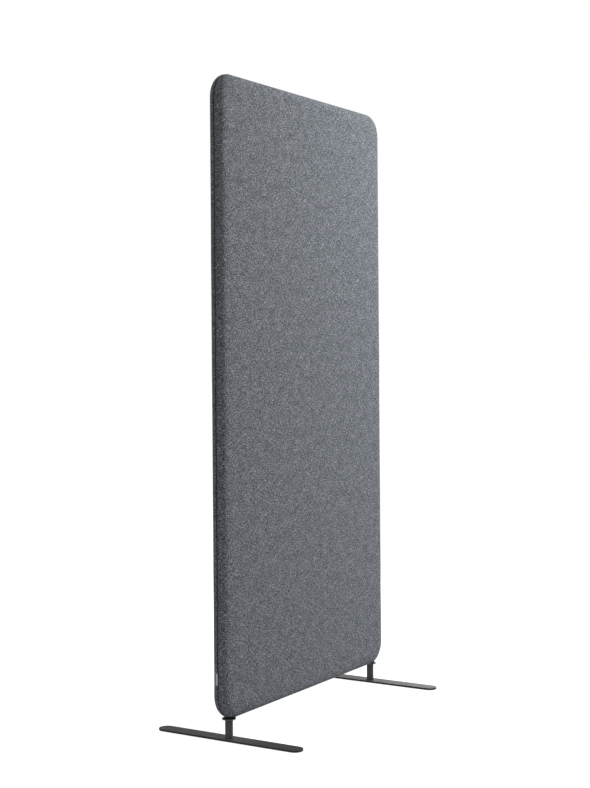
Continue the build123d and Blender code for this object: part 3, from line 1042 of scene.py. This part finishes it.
def timber_finish(name, *draws):
    """Spruce with its grain along the axis that has the smallest draw."""
    finish, tree, shader = new_finish(name, {"Specular IOR Level": 0.3})
    grain = stretched(tree, own_coordinates(tree), *draws)
    rings = noise_node(tree, grain, ring_scale, detail=3.0, distortion=ring_bend)
    pores = noise_node(tree, grain, pore_scale)
    bands = math_node(tree, "SINE", times(tree, rings, ring_turns))
    colour = mix_colour(tree, spread(tree, bands, -1.0, 1.0), early_wood, late_wood)
    share = spread(tree, pores, pore_low, pore_high, 0.0, pore_share)
    colour = mix_colour(tree, share, colour, pore_colour)
    rough = spread(tree, pores, 0.3, 0.7, 0.5, 0.7)
    vary(tree, shader, {"Base Color": colour, "Roughness": rough}, pores, 0.3, 0.1 * MM)
    return finish


upright_timber = timber_finish("upright_timber", 1.0, 1.0, grain_draw)
level_timber = timber_finish("level_timber", grain_draw, 1.0, 1.0)
print("two timber finishes")

# %% Finishes of the rigid parts
starts_of = {
    bar_coat: ("foot_bar",), post_coat_painted_light: ("post",), black_plastic: ("collar",),
    zinc_steel: ("stud", "foot_screw", "threaded_insert"),
    dark_plating: ("zip_slider", "zip_pull", "zip_stops"),
    upright_timber: ("stile",), level_timber: ("rail", "frame_dowels"),
    pressed_board: ("core",), pad_fibre: ("pad",),
}
for finish, starts in starts_of.items():
    for name, part in nodes.items():
        if name.startswith(starts):
            dress(part, finish)
print("finished", sum(bool(part.data.materials) for part in nodes.values()), "rigid parts")

# %% [markdown]
# A row of topstitching holds each cover's hem a few millimetres from the fold. A stitch
# is a short length of thread that comes up out of the cloth and goes down again, so the
# repeated piece is a low arch with its ends below the surface. The rows go all the way
# round, also past the collars, and sit in the groove that they pull into the cloth.

# %% Topstitching
stitch_pitch, stitch_length = 4.2 * MM, 3.1 * MM
stitch_rise, stitch_sink = 0.16 * MM, 0.5 * MM
stitch_radius, stitch_sides = 0.27 * MM, 5
stitch_wobble = 0.05
route_step = 2.1 * MM


def route_round(start, end, point_at):
    """A route as (point, ahead, out) from start to end round the outline."""
    steps = max(round((end - start) / route_step), 1)
    spots = [point_at(start + (end - start) * i / steps) for i in range(steps + 1)]
    route = []
    for i, (point, out) in enumerate(spots):
        ahead = spots[min(i + 1, steps)][0] - spots[max(i - 1, 0)][0]
        route.append((point, ahead.normalized(), out))
    return route


def stitch_spot(side, distance):
    """The place of the stitch row on one cover, and its way out of the cloth."""
    station = outline(distance)
    along = fold_along(half_gap(distance % outline_length, station)) + pinch_offset
    depth, off_middle = edge_point(along, pinch_depth / 2)
    angle = edge_angle(along)
    out = station[1] * cos(angle)
    return place(station, depth, side * off_middle), Vector((out.x, side * sin(angle), out.y))


arch = [(-0.5, -1.0), (-0.42, -0.1), (-0.2, 0.8), (0.2, 0.8), (0.42, -0.1), (0.5, -1.0)]
stitch_path = [
    Vector((x * stitch_length, 0, z * (stitch_rise if z > 0 else stitch_sink))) for x, z in arch
]
stitch = thread_copy("stitch", stitch_path, stitch_radius, stitch_sides)
for part, side, seed in (("front", -1, 3), ("rear", 1, 8)):
    route = route_round(0, outline_length - stitch_pitch / 2, lambda spot: stitch_spot(side, spot))
    look = (stitch, stitch_pitch, stitch_wobble, seed, stitch_thread)
    row = along_route("topstitch_" + part, route, *look)
    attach(row, "panel")

# %% [markdown]
# The zip is a closed coil: each side is a nylon spring whose loops hook into the loops of
# the other. One loop is a bent tube that leaves the tape, runs to the middle, turns down
# behind the loop across from it and comes back. The two sides are the same route, with
# the loops of one half a pitch behind the other.

# %% Zip coil
coil_pitch = 1.6 * MM
coil_radius, coil_sides = 0.27 * MM, 4
coil_depth = 1.62 * MM
coil_edge = 1.85 * MM
coil_head, coil_neck = 0.35 * MM, 0.21 * MM
coil_rise = 0.32 * MM


def coil_spot(distance):
    """The middle of the closed coil."""
    station = outline(distance)
    centre, out = station
    return place(station, coil_depth, 0), Vector((out.x, 0, out.y))


def coil_loop(name, side):
    """One loop of the coil, on the front (side -1) or the rear (side 1)."""
    path = [
        (-0.30, coil_edge, -coil_rise), (-0.18, coil_edge, coil_rise), (-0.02, -coil_neck, coil_rise),
        (0.02, -coil_head, 0.0), (0.06, -coil_neck, -coil_rise), (0.24, coil_edge, -coil_rise),
    ]
    points = [Vector((share * coil_pitch, side * y, z)) for share, y, z in path]
    return thread_copy(name, points, coil_radius, coil_sides)


coil_first, coil_last = zip_start + stop_length, zip_end - stop_length
for part, side in cover_sides.items():
    lag = coil_pitch / 2 if side > 0 else 0.0
    route = route_round(coil_first + lag, coil_last - coil_pitch / 2 + lag, coil_spot)
    loop = coil_loop("loop_" + part, side)
    loops = along_route("coil_" + part, route, loop, coil_pitch, 0.0, 1, coil_nylon)
    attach(loops, "panel")
    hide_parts("zip_coil_" + part)

# %% [markdown]
# Under the coil lie the two woven tapes. Each is a thin band carried along the zip's
# path, a little thicker at the selvedge and thinned at its outer edge.

# %% Zip tapes
tape_top = 2.25 * MM
tape_thickness = 0.5 * MM
tape_inner, tape_near, tape_middle, tape_width = 0.3 * MM, 2.2 * MM, 5 * MM, 10.9 * MM
selvedge, selvedge_swell = 1.2 * MM, 0.04 * MM
edge_taper = 0.1 * MM
corner_step = radians(5)
straight_step, least_step = 60 * MM, 0.1 * MM


def zip_distances():
    """Stations along the zip: few on the straight, closer together in the corners."""
    found = [zip_start, zip_end]
    for start, length, _, _, _, turns in outline_runs:
        step = corner_step * corner_radius if turns else straight_step
        count = max(round(length / step), 1)
        found += [start + length * i / count for i in range(count + 1)]
    kept = sorted(distance for distance in found if zip_start <= distance <= zip_end)
    return [d for i, d in enumerate(kept) if i == 0 or d - kept[i - 1] > least_step]


def tape_section(side):
    """The tape's section: top face out to the selvedge, and back underneath."""
    lifts = {tape_inner: 0.0, tape_near: 0.0, tape_middle: 0.0, tape_width - selvedge: 0.0}
    lifts |= {tape_width - selvedge / 2: -selvedge_swell, tape_width: edge_taper}
    top = [edge_point(along, tape_top + lift) for along, lift in lifts.items()]
    under = [edge_point(along, tape_top + tape_thickness - lift) for along, lift in lifts.items()]
    return [(depth, side * y) for depth, y in top + list(reversed(under))]


for part, side in cover_sides.items():
    section = tape_section(side)
    rings = [[place(outline(d), depth, y) for depth, y in section] for d in zip_distances()]
    tape = in_scene("tape_" + part, tubes_mesh("tape_" + part, [rings]))
    dress(tape, woven_tape)
    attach(tape, "panel")
    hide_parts("zip_tape_" + part)
    print(tape.name, len(tape.data.polygons), "faces")

# %% [markdown]
# The blank tab is a short length of satin ribbon, folded double and caught in the zip's
# seam on the left edge. It lies back over the rear cover. The path below is that hairpin
# seen from above, and the ribbon is the path drawn out to the tab's height.

# %% Ribbon tab
tab_low, tab_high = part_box("seam_tab")
ribbon_thickness = 0.34 * MM
tab_root, tab_mouth, tab_bend, tab_reach = 0.45 * MM, 1.0 * MM, 5.1 * MM, 5.4 * MM
root_rises = (0.6 * MM, 0.2 * MM)
tucked_end = ((0.75 * MM, 0.05 * MM), (0.6 * MM, 0.3 * MM))
lower_layer, upper_layer = -0.42 * MM, -0.92 * MM
bend_angles = [radians(angle) for angle in (45, 90, 135)]
tab_steps, tab_rows = 4, 9
tab_lift, tab_waves, tab_seed = 0.25 * MM, 2.3, 4.0


def tab_path():
    """(along, below) of the hairpin: out of the seam, back over the cover, round and home."""
    run = [tab_mouth + (tab_bend - tab_mouth) * i / tab_steps for i in range(tab_steps + 1)]
    spine = [(tab_root, rise) for rise in root_rises] + [(along, lower_layer) for along in run]
    middle, reach = (lower_layer + upper_layer) / 2, (lower_layer - upper_layer) / 2
    spine += [(tab_bend + reach * sin(a), middle + reach * cos(a)) for a in bend_angles]
    spine += [(along, upper_layer) for along in reversed(run[1:])]
    return spine + [(along, upper_layer + rise) for along, rise in tucked_end]


def ribbon_tab():
    """The folded ribbon as a sheet with thickness."""
    points, faces = [], []
    path = tab_path()
    for row in range(tab_rows):
        share = row / (tab_rows - 1)
        station = (Vector((-corner_x, tab_low.z + (tab_high.z - tab_low.z) * share)), Vector((-1, 0)))
        wave = tab_lift * noise.noise(Vector((share * tab_waves, tab_seed, 0)))
        for along, below in path:
            depth, y = edge_point(along, below - wave * smooth_step(along / tab_reach))
            points.append(place(station, depth, y))
    count = len(path)
    for row in range(tab_rows - 1):
        for first in range(row * count, row * count + count - 1):
            faces.append((first, first + 1, first + count + 1, first + count))
    mesh = bpy.data.meshes.new("ribbon_tab")
    mesh.from_pydata(points, [], faces)
    mesh.shade_smooth()
    piece = in_scene("ribbon_tab", mesh)
    body = piece.modifiers.new("thickness", "SOLIDIFY")
    body.thickness = ribbon_thickness
    body.offset = 0
    apply_modifiers(piece)
    return piece


tab = ribbon_tab()
dress(tab, pale_ribbon)
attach(tab, "panel")
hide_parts("seam_tab")
print(tab.name, len(tab.data.polygons), "faces")

# %% [markdown]
# Each foot bar stands on two thin felt discs. A disc is a stack of rings round its axis,
# slightly bevelled at both edges and closed at both ends.

# %% Felt glides
glide_edge = 0.3 * MM
glide_segments = 48


def glide_discs(name, node):
    """The two discs under one bar, at the middles of the rigid discs they stand for."""
    low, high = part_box(node)
    centre_x = (low.x + high.x) / 2
    wide = (high.x - low.x) / 2
    flat = wide - glide_edge
    profile = [(flat, low.z), (wide, low.z + glide_edge), (wide, high.z - glide_edge), (flat, high.z)]
    angles = [2 * pi * k / glide_segments for k in range(glide_segments)]
    discs = [
        [[(centre_x + r * cos(a), y + r * sin(a), z) for a in angles] for r, z in profile]
        for y in (low.y + wide, high.y - wide)
    ]
    piece = in_scene(name, tubes_mesh(name, discs))
    dress(piece, pressed_felt)
    return piece


for side in ("left", "right"):
    discs = glide_discs("glides_" + side, "foot_glides_" + side)
    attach(discs, "foot_" + side)
    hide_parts("foot_glides_" + side)
    print(discs.name, len(discs.data.polygons), "faces")
